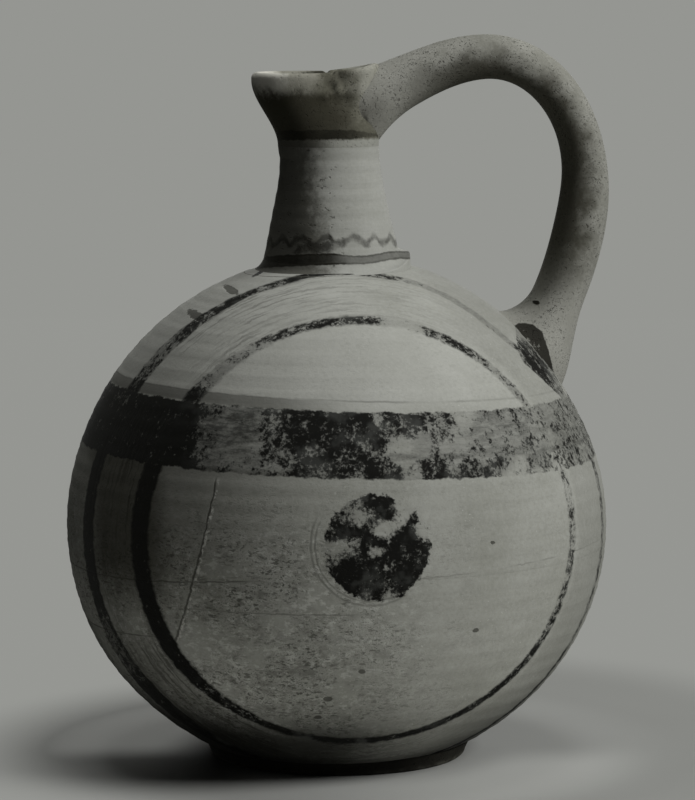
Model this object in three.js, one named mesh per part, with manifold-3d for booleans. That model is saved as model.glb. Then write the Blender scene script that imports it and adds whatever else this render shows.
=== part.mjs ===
// A painted earthenware jug for pouring: a globe body on a low ring foot, a slightly leaning neck,
// a pinched mouth with a spout, and a round coil handle that rises above the rim.
// Millimetres, +Z up. The origin is the middle of the standing ring, on the table.
// +X points to the handle and -X to the spout. The +Y and -Y sides mirror each other.

import * as THREE from "three";
import { mergeVertices } from "three/addons/utils/BufferGeometryUtils.js";
import Module from "manifold-3d";

// Globe body, thrown as two bowls and joined rim to rim
const BELLY_RADIUS = 92;
const BELLY_HEIGHT = 80;
const CROWN_RISE = 91.5;
const SEAM_HEIGHT = 74;
const BODY_WALL = 5;
const FLOOR_RADIUS = 44;
const FLOOR_LIFT = 4;
const FLOOR_THICKNESS = 6;

// Ring foot under the floor
const FOOT_RADIUS = 46;
const FOOT_DRAFT = 2;
const FOOT_WIDTH = 9.5;
const FOOT_EDGE = 1;

// Neck, set a little to the spout side of the body's axis and leaning further that way
const NECK_BASE_RADIUS = 24;
const NECK_TOP_RADIUS = 17.2;
const NECK_LENGTH = 41;
const NECK_STRAIGHT = 13;
const NECK_WALL = 4;
const NECK_OFFSET = 1.8;
const NECK_LEAN = 1.4;

// Collar of clay worked into the corner between the neck and the shoulder
const COLLAR_HEIGHT = 6;
const COLLAR_REACH = 2.4;
const COLLAR_LIP = 1.2;
const COLLAR_TIP = 0.8;

// Mouth, a straight thrown tube that is opened into a spout and pinched at both sides
const MOUTH_HEIGHT = 24.7;
const FLARE_HEIGHT = 22;
const SPOUT_REACH = 26.1;
const BACK_REACH = 18;
const BACK_RISE = 1.4;
const PINCH_GAP = 11;

// Handle, a rolled coil bent from the back of the mouth down to the shoulder
const HANDLE_THICKNESS = 16.6;
const HANDLE_WIDTH = 18;
const HANDLE_RISE = 13;
const HANDLE_REACH = 94;
const HANDLE_CREST_OUT = 51;
const HANDLE_BEND_DROP = 52;
const HANDLE_SEAT_DROP = 13.5;
const HANDLE_ROOT_ANGLE = THREE.MathUtils.degToRad(41);
const HANDLE_BURIED_END = 7;
const ROOT_BURIED_RUN = 5;
const ROOT_FLARE = 14;
const ROOT_FLARE_LENGTH = 31;
const ROOT_SIDE_SHARE = 0.5;
const ROOT_SWELL = 1.6;
const ROOT_SWELL_LENGTH = 70;
const TOP_FLARE = 3;
const TOP_FLARE_LENGTH = 18;

// How far the handle's curve keeps its direction, as shares of the stretch that it crosses
const LEAVE_OUT = 0.72;
const LEAVE_UP = 0.54;
const CREST_PULL = 0.8;
const ROUND_PULL = 0.55;
const BEND_PULL = 0.34;
const ROOT_PULL = 0.33;
const ROOT_LEAN = 0.5;

// The air gap that stands for each luted joint
const CLEARANCE = 0.3;

// Facets
const BODY_SIDES = 56;
const NECK_SIDES = 40;
const MOUTH_SIDES = 52;
const HANDLE_SIDES = 18;
const HANDLE_STEPS = 44;
const CROWN_STEPS = 12;

// Sizes that follow from the ones above
const FLOOR_COSINE = Math.sqrt(1 - (FLOOR_RADIUS / BELLY_RADIUS) ** 2);
const KEEL_DROP = (BELLY_HEIGHT - FLOOR_LIFT) / FLOOR_COSINE;
const SHOULDER_HEIGHT = BELLY_HEIGHT + CROWN_RISE * Math.sqrt(1 - (NECK_BASE_RADIUS / BELLY_RADIUS) ** 2);
const NECK_TOP_HEIGHT = SHOULDER_HEIGHT + NECK_LENGTH;
const NECK_TOP_X = -(NECK_OFFSET + NECK_LEAN);
const RIM_HEIGHT = NECK_TOP_HEIGHT + MOUTH_HEIGHT;

const wasm = await Module();
wasm.setup();

// Welds a closed geometry into a solid that can be joined and cut.
function toSolid(geometry) {
  const bare = geometry.clone();
  bare.deleteAttribute("normal");
  bare.deleteAttribute("uv");
  const welded = mergeVertices(bare);
  const corners = welded.index.array;
  const triangles = [];
  for (let i = 0; i < corners.length; i += 3) {
    const [a, b, c] = corners.slice(i, i + 3);
    if (a !== b && b !== c && c !== a) {
      triangles.push(a, b, c);
    }
  }
  const vertProperties = Float32Array.from(welded.attributes.position.array);
  const triVerts = Uint32Array.from(triangles);
  return new wasm.Manifold(new wasm.Mesh({ numProp: 3, vertProperties, triVerts }));
}

function toGeometry(solid) {
  const mesh = solid.getMesh();
  const geometry = new THREE.BufferGeometry();
  const positions = Float32Array.from(mesh.vertProperties);
  geometry.setAttribute("position", new THREE.BufferAttribute(positions, mesh.numProp));
  geometry.setIndex(new THREE.BufferAttribute(Uint32Array.from(mesh.triVerts), 1));
  geometry.computeVertexNormals();
  return geometry;
}

// Turns a profile of (radius, height) points about the Z axis.
function turned(profile, sides) {
  return new THREE.LatheGeometry(profile, sides).rotateX(Math.PI / 2);
}

// Moves every vertex of a geometry by a function of its place.
function reshape(geometry, move) {
  const place = new THREE.Vector3();
  const positions = geometry.attributes.position;
  for (let i = 0; i < positions.count; i += 1) {
    place.fromBufferAttribute(positions, i);
    move(place);
    positions.setXYZ(i, place.x, place.y, place.z);
  }
  return geometry;
}

// The globe's outline from one height to another: one ellipse above the belly ring, one below it.
// A positive growth moves it outwards and a negative one inwards.
function globeOutline(fromHeight, toHeight, growth, steps) {
  const angleAt = (height) => {
    const rise = height - BELLY_HEIGHT;
    const halfAxis = (rise < 0 ? KEEL_DROP : CROWN_RISE) + growth;
    return Math.asin(THREE.MathUtils.clamp(rise / halfAxis, -1, 1));
  };
  const start = angleAt(fromHeight);
  const end = angleAt(toHeight);
  return Array.from({ length: steps + 1 }, (_, i) => {
    const angle = THREE.MathUtils.lerp(start, end, i / steps);
    const halfAxis = (angle < 0 ? KEEL_DROP : CROWN_RISE) + growth;
    const radius = (BELLY_RADIUS + growth) * Math.cos(angle);
    return new THREE.Vector2(Math.max(radius, 0), BELLY_HEIGHT + halfAxis * Math.sin(angle));
  });
}

// Height of the body's underside at a radius: the flat floor, then the curve of the lower bowl.
function undersideHeight(radius) {
  if (radius <= FLOOR_RADIUS) {
    return FLOOR_LIFT;
  }
  return BELLY_HEIGHT - KEEL_DROP * Math.sqrt(1 - (radius / BELLY_RADIUS) ** 2);
}

// The whole globe as one filled solid, for cutting the seats of what is luted on to it.
function filledGlobe() {
  const outline = globeOutline(SEAM_HEIGHT, BELLY_HEIGHT + CROWN_RISE + CLEARANCE, CLEARANCE, CROWN_STEPS);
  return toSolid(turned([new THREE.Vector2(0, SEAM_HEIGHT), ...outline], BODY_SIDES));
}

function lowerBody() {
  const floorTop = FLOOR_LIFT + FLOOR_THICKNESS;
  const outside = globeOutline(FLOOR_LIFT, SEAM_HEIGHT, 0, 9);
  const inside = globeOutline(SEAM_HEIGHT, floorTop, -BODY_WALL, 8);
  const profile = [new THREE.Vector2(0, FLOOR_LIFT), ...outside, ...inside, new THREE.Vector2(0, floorTop)];
  return toSolid(turned(profile, BODY_SIDES));
}

// The upper bowl, turned over and closed at the crown, then pierced where the neck is set.
function upperBody() {
  const seam = SEAM_HEIGHT + CLEARANCE;
  const crown = BELLY_HEIGHT + CROWN_RISE;
  const outside = globeOutline(seam, crown, 0, CROWN_STEPS);
  const inside = globeOutline(crown - BODY_WALL, seam, -BODY_WALL, CROWN_STEPS);
  const dome = toSolid(turned([...outside, ...inside, outside[0].clone()], BODY_SIDES));
  const boreRadius = NECK_BASE_RADIUS - NECK_WALL;
  const borer = new THREE.CylinderGeometry(boreRadius, boreRadius, 4 * BODY_WALL, NECK_SIDES)
    .rotateX(Math.PI / 2)
    .translate(-NECK_OFFSET, 0, SHOULDER_HEIGHT);
  return dome.subtract(toSolid(borer));
}

function footRing() {
  const outerTop = FOOT_RADIUS;
  const outerBottom = FOOT_RADIUS - FOOT_DRAFT;
  const inner = FOOT_RADIUS - FOOT_WIDTH;
  const edge = (centre, start, end) =>
    new THREE.EllipseCurve(centre, FOOT_EDGE, FOOT_EDGE, FOOT_EDGE, start, end).getPoints(3);
  const innerEdge = edge(inner + FOOT_EDGE, Math.PI, 1.5 * Math.PI);
  const outerEdge = edge(outerBottom - FOOT_EDGE, 1.5 * Math.PI, 2 * Math.PI);
  const floorEdge = THREE.MathUtils.clamp(FLOOR_RADIUS, inner, outerTop);
  const seat = [outerTop, (outerTop + floorEdge) / 2, floorEdge, inner].map(
    (radius) => new THREE.Vector2(radius, undersideHeight(radius) - CLEARANCE),
  );
  return toSolid(turned([...innerEdge, ...outerEdge, ...seat, innerEdge[0].clone()], BODY_SIDES));
}

// The neck's outer radius runs almost straight below the mouth and then spreads to the shoulder.
const neckOutline = new THREE.QuadraticBezierCurve(
  new THREE.Vector2(NECK_BASE_RADIUS, SHOULDER_HEIGHT),
  new THREE.Vector2(NECK_TOP_RADIUS, NECK_TOP_HEIGHT - NECK_STRAIGHT),
  new THREE.Vector2(NECK_TOP_RADIUS, NECK_TOP_HEIGHT),
);

// The neck's outer radius at a height. Height is quadratic along the curve, so it is solved directly.
function neckRadius(height) {
  const climb = height - SHOULDER_HEIGHT;
  const slope = 2 * (NECK_LENGTH - NECK_STRAIGHT);
  const bend = 2 * NECK_STRAIGHT - NECK_LENGTH;
  const share = (2 * climb) / (slope + Math.sqrt(slope ** 2 + 4 * bend * climb));
  return neckOutline.getPoint(share).x;
}

// Sets a turned neck piece off the body's axis and leans it toward the spout.
function leanNeck(place) {
  const climb = Math.max((place.z - SHOULDER_HEIGHT) / NECK_LENGTH, 0);
  place.x -= NECK_OFFSET + NECK_LEAN * climb;
}

// The neck's side, from two walls' depth inside the globe up to the mouth.
function neckSide(growth) {
  const root = new THREE.Vector2(NECK_BASE_RADIUS, SHOULDER_HEIGHT - 2 * BODY_WALL);
  return [root, ...neckOutline.getPoints(7)].map((point) => new THREE.Vector2(point.x + growth, point.y));
}

function neck() {
  const outside = neckSide(0);
  const inside = neckSide(-NECK_WALL).reverse();
  const tube = turned([...outside, ...inside, outside[0].clone()], NECK_SIDES);
  return toSolid(reshape(tube, leanNeck)).subtract(filledGlobe());
}

// The neck's outside as one filled solid, for keeping the handle clear of it.
function filledNeck() {
  const side = neckSide(CLEARANCE);
  const bottom = new THREE.Vector2(0, side[0].y);
  const top = new THREE.Vector2(0, side.at(-1).y);
  return toSolid(reshape(turned([bottom, ...side, top], NECK_SIDES), leanNeck));
}

function neckCollar() {
  const ledge = SHOULDER_HEIGHT + COLLAR_LIP;
  const reach = NECK_BASE_RADIUS + COLLAR_REACH;
  const againstNeck = [1, 0.75, 0.5, 0.25, 0].map((share) => {
    const height = SHOULDER_HEIGHT + share * COLLAR_HEIGHT;
    return new THREE.Vector2(neckRadius(height) + CLEARANCE, height);
  });
  const tip = againstNeck[0].clone();
  tip.x += COLLAR_TIP;
  const hollow = new THREE.QuadraticBezierCurve(
    new THREE.Vector2(reach, ledge),
    new THREE.Vector2(tip.x + COLLAR_TIP, ledge + COLLAR_LIP),
    tip,
  );
  const below = SHOULDER_HEIGHT - 2 * BODY_WALL;
  const root = new THREE.Vector2(NECK_BASE_RADIUS + CLEARANCE, below);
  const rootEdge = new THREE.Vector2(reach, below);
  const profile = [root, rootEdge, ...hollow.getPoints(6), ...againstNeck, root.clone()];
  return toSolid(reshape(turned(profile, NECK_SIDES), leanNeck)).subtract(filledGlobe());
}

// Distance of the finished rim from the neck's axis, by the angle from the spout.
function rimRadius(angle) {
  const pinched = PINCH_GAP / 2 + NECK_WALL;
  const ends = (SPOUT_REACH + BACK_REACH) / 2;
  const mean = (ends + pinched) / 2;
  const swing = (SPOUT_REACH - BACK_REACH) / 2;
  const squeeze = (ends - pinched) / 2;
  return mean + swing * Math.cos(angle) + squeeze * Math.cos(2 * angle);
}

// Opens and pinches a straight tube that stands on the neck: nothing moves at the foot of the mouth,
// and from the flare's height up every point is carried by the full step from the tube to the rim.
function pinchMouth(place) {
  const opened = THREE.MathUtils.smoothstep(place.z, 0, FLARE_HEIGHT);
  const fromSpout = Math.atan2(place.y, -place.x);
  const radius = Math.hypot(place.x, place.y);
  const carried = radius > 0 ? 1 + (opened * (rimRadius(fromSpout) - NECK_TOP_RADIUS)) / radius : 1;
  place.x = place.x * carried + NECK_TOP_X;
  place.y *= carried;
  place.z += NECK_TOP_HEIGHT + (opened * BACK_RISE * (1 - Math.cos(fromSpout))) / 2;
}

function pinchedMouth() {
  const wallRise = (radius, bottom, top) =>
    new THREE.LineCurve(new THREE.Vector2(radius, bottom), new THREE.Vector2(radius, top)).getPoints(9);
  const lipRound = NECK_WALL / 2;
  const lipStart = MOUTH_HEIGHT - lipRound;
  const outside = wallRise(NECK_TOP_RADIUS, CLEARANCE, lipStart);
  const inside = wallRise(NECK_TOP_RADIUS - NECK_WALL, lipStart, CLEARANCE);
  const lip = new THREE.EllipseCurve(NECK_TOP_RADIUS - lipRound, lipStart, lipRound, lipRound, 0, Math.PI);
  const profile = [...outside, ...lip.getPoints(5).slice(1, -1), ...inside, outside[0].clone()];
  return toSolid(reshape(turned(profile, MOUTH_SIDES), pinchMouth));
}

// The mouth's outside as one filled solid that runs on above the rim, for cutting the handle's seat.
function filledMouth() {
  const radius = NECK_TOP_RADIUS + CLEARANCE;
  const top = MOUTH_HEIGHT + HANDLE_RISE;
  const bottomEdge = new THREE.Vector2(radius, 0);
  const topEdge = new THREE.Vector2(radius, top);
  const side = new THREE.LineCurve(bottomEdge, topEdge).getPoints(14);
  const profile = [new THREE.Vector2(0, 0), ...side, new THREE.Vector2(0, top)];
  return toSolid(reshape(turned(profile, MOUTH_SIDES), pinchMouth));
}

// The handle's centre line, in the XZ plane: up and out of the mouth's back, over the crest, round the
// outermost bend, down into the shoulder and straight on inside the wall.
function handlePath() {
  const point = (x, z) => new THREE.Vector3(x, 0, z);
  const half = HANDLE_THICKNESS / 2;
  const start = point(NECK_TOP_X + BACK_REACH - HANDLE_BURIED_END, RIM_HEIGHT - HANDLE_SEAT_DROP);
  const crest = point(HANDLE_CREST_OUT, RIM_HEIGHT + HANDLE_RISE - half);
  const bend = point(HANDLE_REACH - half, crest.z - (HANDLE_BEND_DROP - half));
  const root = point(
    (BELLY_RADIUS - HANDLE_BURIED_END) * Math.cos(HANDLE_ROOT_ANGLE),
    BELLY_HEIGHT + (CROWN_RISE - HANDLE_BURIED_END) * Math.sin(HANDLE_ROOT_ANGLE),
  );
  const rise = crest.z - start.z;
  const fall = bend.z - root.z;
  const intoRoot = point(THREE.MathUtils.lerp(root.x, bend.x, ROOT_LEAN), root.z + ROOT_PULL * fall);
  const path = new THREE.CurvePath();
  path.add(new THREE.CubicBezierCurve3(
    start,
    point(start.x + LEAVE_OUT * rise, start.z + LEAVE_UP * rise),
    point(crest.x - CREST_PULL * rise, crest.z),
    crest,
  ));
  path.add(new THREE.CubicBezierCurve3(
    crest,
    point(THREE.MathUtils.lerp(crest.x, bend.x, ROUND_PULL), crest.z),
    point(bend.x, THREE.MathUtils.lerp(bend.z, crest.z, ROUND_PULL)),
    bend,
  ));
  path.add(new THREE.CubicBezierCurve3(
    bend,
    point(bend.x, bend.z - BEND_PULL * fall),
    intoRoot,
    root,
  ));
  const onward = root.clone().sub(intoRoot).setLength(ROOT_BURIED_RUN).add(root);
  path.add(new THREE.LineCurve3(root, onward));
  return path;
}

// The coil is turned as a straight round-ended roll that swells toward its roots, then bent along the
// path and cut to sit against the mouth and the shoulder. The root's flare runs along the handle more
// than across it.
function handle() {
  const path = handlePath();
  const length = path.getLength();
  const half = HANDLE_THICKNESS / 2;
  const fade = (distance, reach) => Math.max(1 - distance / reach, 0) ** 2;
  const rootFlare = (along) => ROOT_FLARE * fade(length - along, ROOT_FLARE_LENGTH);
  const plainRadius = (along) => {
    const swell = ROOT_SWELL * Math.max(1 - (length - along) / ROOT_SWELL_LENGTH, 0);
    return half + swell + TOP_FLARE * fade(along, TOP_FLARE_LENGTH);
  };
  const profile = Array.from({ length: HANDLE_STEPS + 1 }, (_, i) => {
    const even = i / HANDLE_STEPS;
    const closerAtEnds = (1 - Math.cos(Math.PI * even)) / 2;
    const along = THREE.MathUtils.lerp(even, closerAtEnds, 0.5) * length;
    const toEnd = Math.min(along, length - along, half);
    const roundEnd = Math.sqrt(1 - (1 - toEnd / half) ** 2);
    return new THREE.Vector2((plainRadius(along) + rootFlare(along)) * roundEnd, along);
  });
  const bent = reshape(turned(profile, HANDLE_SIDES), (place) => {
    const along = THREE.MathUtils.clamp(place.z, 0, length);
    const centre = path.getPointAt(along / length);
    const ahead = path.getTangentAt(along / length);
    const plain = plainRadius(along);
    const flare = rootFlare(along);
    const narrowed = (plain + ROOT_SIDE_SHARE * flare) / (plain + flare);
    const sideways = (place.y * narrowed * HANDLE_WIDTH) / HANDLE_THICKNESS;
    place.set(centre.x + place.x * ahead.z, sideways, centre.z - place.x * ahead.x);
  });
  return toSolid(bent).subtract(filledMouth()).subtract(filledNeck()).subtract(filledGlobe());
}

const slip = new THREE.MeshStandardMaterial({ color: 0x9a988f, roughness: 0.85, metalness: 0 });
const bareClay = new THREE.MeshStandardMaterial({ color: 0x77756a, roughness: 0.95, metalness: 0 });
const darkPaint = new THREE.MeshStandardMaterial({ color: 0x24221d, roughness: 0.8, metalness: 0 });

const pieces = [
  ["foot_ring", footRing(), bareClay],
  ["lower_body", lowerBody(), slip],
  ["upper_body", upperBody(), slip],
  ["neck", neck(), slip],
  ["neck_collar", neckCollar(), darkPaint],
  ["pinched_mouth", pinchedMouth(), bareClay],
  ["handle", handle(), bareClay],
];

const jug = new THREE.Group();
for (const [name, solid, material] of pieces) {
  const piece = new THREE.Mesh(toGeometry(solid), material);
  piece.name = name;
  jug.add(piece);
}

export default jug;
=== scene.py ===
import math

import bpy
import numpy as np
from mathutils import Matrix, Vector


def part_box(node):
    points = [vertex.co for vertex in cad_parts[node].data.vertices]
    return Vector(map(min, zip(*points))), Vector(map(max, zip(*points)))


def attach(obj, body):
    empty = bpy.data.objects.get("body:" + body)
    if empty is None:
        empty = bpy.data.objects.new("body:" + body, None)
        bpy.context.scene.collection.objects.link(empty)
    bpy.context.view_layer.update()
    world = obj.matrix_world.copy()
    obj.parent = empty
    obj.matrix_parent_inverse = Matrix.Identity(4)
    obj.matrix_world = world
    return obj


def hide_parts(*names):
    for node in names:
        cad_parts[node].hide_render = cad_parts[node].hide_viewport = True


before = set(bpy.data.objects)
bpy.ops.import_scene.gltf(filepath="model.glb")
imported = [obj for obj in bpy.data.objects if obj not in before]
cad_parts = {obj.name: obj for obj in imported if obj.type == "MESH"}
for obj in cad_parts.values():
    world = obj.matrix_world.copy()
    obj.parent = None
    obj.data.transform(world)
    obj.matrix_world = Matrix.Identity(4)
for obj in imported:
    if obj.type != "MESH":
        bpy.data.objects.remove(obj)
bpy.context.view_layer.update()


# Lower bowl
# The lower half of the globe: pale wheel-thrown clay with a flat floor, dipped in slip. It was luted rim to
# rim to the upper half, and dark clay paint was brushed on afterwards, so rings and bands run over the seam.

mm = 0.001
belly_radius = 92 * mm
belly_height = 80 * mm
crown_rise = 91.5 * mm
body_wall = 5 * mm
floor_lift = 4 * mm
floor_radius = 44 * mm
floor_thickness = 6 * mm
seam_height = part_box("lower_body")[1].z
keel_drop = (belly_height - floor_lift) / math.sqrt(1 - (floor_radius / belly_radius) ** 2)
azimuth = np.linspace(0, 2 * np.pi, 384, endpoint=False)[None, :]


def hill(value, middle, reach):
    """A smooth hill of height 1 over the middle, which falls away within about the reach on both sides."""
    return np.exp(-(((value - middle) / reach) ** 2))


def hand_thrown(around, height):
    """How far the potter's wall stands off a true globe: two slow waves round the pot, faint throwing rings,
    a fuller belly on the spout side, and a flatter shoulder on the handle side."""
    to_handle = np.cos(around)
    slow = 0.30 * np.sin(2 * around + 0.7) + 0.22 * np.sin(3 * around + height / (28 * mm))
    rings = 0.07 * np.sin(height / (0.9 * mm) + np.sin(around)) + 0.05 * np.sin(height / (0.37 * mm))
    fuller = 1.2 * hill(height, 42 * mm, 26 * mm) + 0.9 * hill(height, 84 * mm, 24 * mm)
    belly = fuller * np.clip(-to_handle, 0, 1)
    shoulder = -1.5 * np.clip(to_handle, 0, 1) * hill(height, 130 * mm, 24 * mm)
    return mm * (slow + rings + belly + shoulder)


def tilt_at(height, growth=0.0):
    """The angle above the belly ring at which the globe, grown by a wall's depth, reaches a height."""
    half_axis = (keel_drop if height < belly_height else crown_rise) + growth
    return math.asin(np.clip((height - belly_height) / half_axis, -1, 1))


def turned(radius, height, around):
    """Points of a profile turned about the upright axis: each row of radius and height is carried round."""
    radius, height = np.broadcast_arrays(radius, height)
    return np.stack([radius * np.cos(around), radius * np.sin(around), height + 0 * around], axis=-1)


def globe(around, tilt, growth=0.0):
    """Points of the globe: an ellipse turned about the upright axis, with one half axis above the belly ring
    and another below it, moved out along the radius by the growth and by the potter's unevenness."""
    half_axis = np.where(tilt < 0, keel_drop, crown_rise)
    extra = growth + hand_thrown(around, belly_height + half_axis * np.sin(tilt))
    radius = (belly_radius + extra) * np.cos(tilt)
    return turned(radius, belly_height + (half_axis + extra) * np.sin(tilt), around)


def disc_rows(edge, steps):
    """Rows of a flat disc from its middle out to just inside an edge ring: the ring drawn in by a share."""
    middle = edge.mean(axis=0)
    share = np.linspace(0, 1, steps, endpoint=False)[:, None, None]
    return middle + share * (edge[None] - middle)


def placed(name, data):
    """Puts a new object with this mesh, light or lens into the scene."""
    thing = bpy.data.objects.new(name, data)
    bpy.context.scene.collection.objects.link(thing)
    return thing


def fired_piece(name, points, poles=False):
    """A closed mesh from points[row, column]. Columns run round the piece and meet again. Rows run over its
    section: a loop that meets again or, with poles, a line whose first and last rows are single points.
    All faces are turned so that the volume they enclose is positive."""
    rows, columns = points.shape[:2]
    if poles:
        places = np.concatenate([points[0, :1], points[1:-1].reshape(-1, 3), points[-1, :1]])
        ring = 1 + np.arange((rows - 2) * columns).reshape(rows - 2, columns)
        low, high = ring[:-1], ring[1:]
        first, last = ring[0], ring[-1]
        start = np.stack([0 * first, np.roll(first, -1), first], axis=-1)
        end = np.stack([0 * last + len(places) - 1, last, np.roll(last, -1)], axis=-1)
        fans = np.concatenate([start, end])
    else:
        places = points.reshape(-1, 3)
        low = np.arange(rows * columns).reshape(rows, columns)
        high = np.roll(low, -1, axis=0)
        fans = np.zeros((0, 3), int)
    quads = np.stack([low, np.roll(low, -1, axis=1), np.roll(high, -1, axis=1), high], axis=-1).reshape(-1, 4)
    triangles = np.concatenate([quads[:, [0, 1, 2]], quads[:, [0, 2, 3]], fans])
    a, b, c = (places[triangles[:, corner]] for corner in range(3))
    if np.einsum("ij,ij->", a, np.cross(b, c)) < 0:
        quads, fans = quads[:, ::-1], fans[:, ::-1]
    mesh = bpy.data.meshes.new(name)
    mesh.from_pydata(places.tolist(), [], quads.tolist() + fans.tolist())
    mesh.polygons.foreach_set("use_smooth", np.ones(len(mesh.polygons), bool))
    crease = math.radians(55)
    mesh.set_sharp_from_angle(angle=crease)
    return placed(name, mesh)


wall_rows, lining_rows, floor_rings = 74, 40, 9
outside = globe(azimuth, np.linspace(tilt_at(floor_lift), tilt_at(seam_height), wall_rows)[:, None])
floor_top = floor_lift + floor_thickness
inner_tilts = np.linspace(tilt_at(seam_height, -body_wall), tilt_at(floor_top, -body_wall), lining_rows)
inside = globe(azimuth, inner_tilts[:, None], -body_wall)
inside[0, :, 2] = outside[-1, :, 2]
underside = disc_rows(outside[0], floor_rings)
floor = disc_rows(inside[-1], floor_rings)[::-1]
lower_bowl = fired_piece("lower_bowl", np.concatenate([underside, outside, inside, floor]), poles=True)


def seen(red, green, blue):
    """Linear colour of a surface that shows these display values, 0 to 255, under plain light."""
    shown = np.array([red, green, blue]) / 255
    return (*((shown + 0.055) / 1.055) ** 2.4, 1.0)


class Field:
    """A number that varies over a piece, held by a socket of its material. Sums and products of fields are
    Math nodes, so a finish is written as a formula of the place on the jug."""

    def __init__(self, socket):
        self.socket = socket
        self.tree = socket.id_data

    def feed(self, socket, value):
        if isinstance(value, Field):
            self.tree.links.new(value.socket, socket)
        else:
            socket.default_value = value

    def math(self, operation, *others):
        node = self.tree.nodes.new("ShaderNodeMath")
        node.operation = operation
        for socket, value in zip(node.inputs, (self, *others)):
            self.feed(socket, value)
        return Field(node.outputs[0])

    def __add__(self, other):
        return self.math("ADD", other)

    def __sub__(self, other):
        return self.math("SUBTRACT", other)

    def __rsub__(self, other):
        return self.math("MULTIPLY_ADD", -1.0, other)

    def __mul__(self, other):
        return self.math("MULTIPLY", other)

    def __truediv__(self, other):
        return self.math("DIVIDE", other)

    def size(self):
        return self.math("ABSOLUTE")

    def most(self, other):
        return self.math("MAXIMUM", other)

    def least(self, other):
        return self.math("MINIMUM", other)

    def rise(self, low, high):
        """0 below low and 1 above high, with a smooth step between them."""
        node = self.tree.nodes.new("ShaderNodeMapRange")
        node.interpolation_type = "SMOOTHSTEP"
        self.feed(node.inputs["Value"], self)
        self.feed(node.inputs["From Min"], low)
        self.feed(node.inputs["From Max"], high)
        return Field(node.outputs["Result"])


class Finish:
    """One procedural material: the place on the jug in mm, and the nodes that its formulas use."""

    def __init__(self, name):
        self.material = bpy.data.materials.new(name)
        self.material.use_nodes = True
        self.tree = self.material.node_tree
        self.link = self.tree.links.new
        self.shader = self.tree.nodes["Principled BSDF"]
        in_mm = self.vector("SCALE", self.node("TexCoord").outputs["Object"])
        in_mm.inputs["Scale"].default_value = 1 / mm
        self.place = in_mm.outputs[0]
        parts = self.node("SeparateXYZ")
        self.link(self.place, parts.inputs[0])
        self.x, self.y, self.z = (Field(socket) for socket in parts.outputs)

    def node(self, kind):
        return self.tree.nodes.new("ShaderNode" + kind)

    def vector(self, operation, place):
        """A vector math node that takes a place or direction."""
        node = self.node("VectorMath")
        node.operation = operation
        self.link(place, node.inputs[0])
        return node

    def along(self, x, y, z):
        """A place or direction put together from three fields."""
        node = self.node("CombineXYZ")
        for socket, value in zip(node.inputs, (x, y, z)):
            self.link(value.socket, socket)
        return node.outputs[0]

    def noise(self, size, detail=3.0, roughness=0.6, place=None, stretch=(1, 1, 1)):
        """Cloudy noise from 0 to 1 with spots of about this size in mm, drawn out by the stretch."""
        scale = self.vector("DIVIDE", place or self.place)
        scale.inputs[1].default_value = [size * share for share in stretch]
        node = self.node("TexNoise")
        for name, value in (("Scale", 1.0), ("Detail", detail), ("Roughness", roughness)):
            node.inputs[name].default_value = value
        self.link(scale.outputs[0], node.inputs["Vector"])
        return Field(node.outputs[0])

    def attribute(self, name):
        """A number that is stored on the vertices of the piece."""
        node = self.node("Attribute")
        node.attribute_name = name
        return Field(node.outputs["Fac"])

    def angle(self, direction, axis):
        """Degrees between a direction and an axis, from the cosine of the unit vectors."""
        unit = self.vector("NORMALIZE", direction)
        cosine = self.vector("DOT_PRODUCT", unit.outputs[0])
        cosine.inputs[1].default_value = np.array(axis) / np.linalg.norm(axis)
        return Field(cosine.outputs["Value"]).math("ARCCOSINE") * math.degrees(1)

    def mix(self, share, low, high):
        """A colour from low to high by a share. Each end is a colour or the result of another mix."""
        node = self.node("Mix")
        node.data_type = "RGBA"
        self.link(share.socket, node.inputs[0])
        for socket, colour in ((node.inputs[6], low), (node.inputs[7], high)):
            if isinstance(colour, tuple):
                socket.default_value = colour
            else:
                self.link(colour, socket)
        return node.outputs[2]

    def coat(self, share, shade):
        """Lays a shade, which is a colour or the result of a mix, over the colour so far by a share."""
        self.colour = self.mix(share, self.colour, shade)

    def fire(self, roughness, relief, sheen=0.12):
        """Sets the matt surface: the colour so far, its roughness, a relief in mm, and its faint sheen."""
        bump = self.node("Bump")
        bump.inputs["Strength"].default_value = 1.0
        bump.inputs["Distance"].default_value = mm
        self.link(relief.socket, bump.inputs["Height"])
        self.link(self.colour, self.shader.inputs["Base Color"])
        self.link(roughness.socket, self.shader.inputs["Roughness"])
        self.link(bump.outputs[0], self.shader.inputs["Normal"])
        self.shader.inputs["Specular IOR Level"].default_value = sheen
        return self.material


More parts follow.
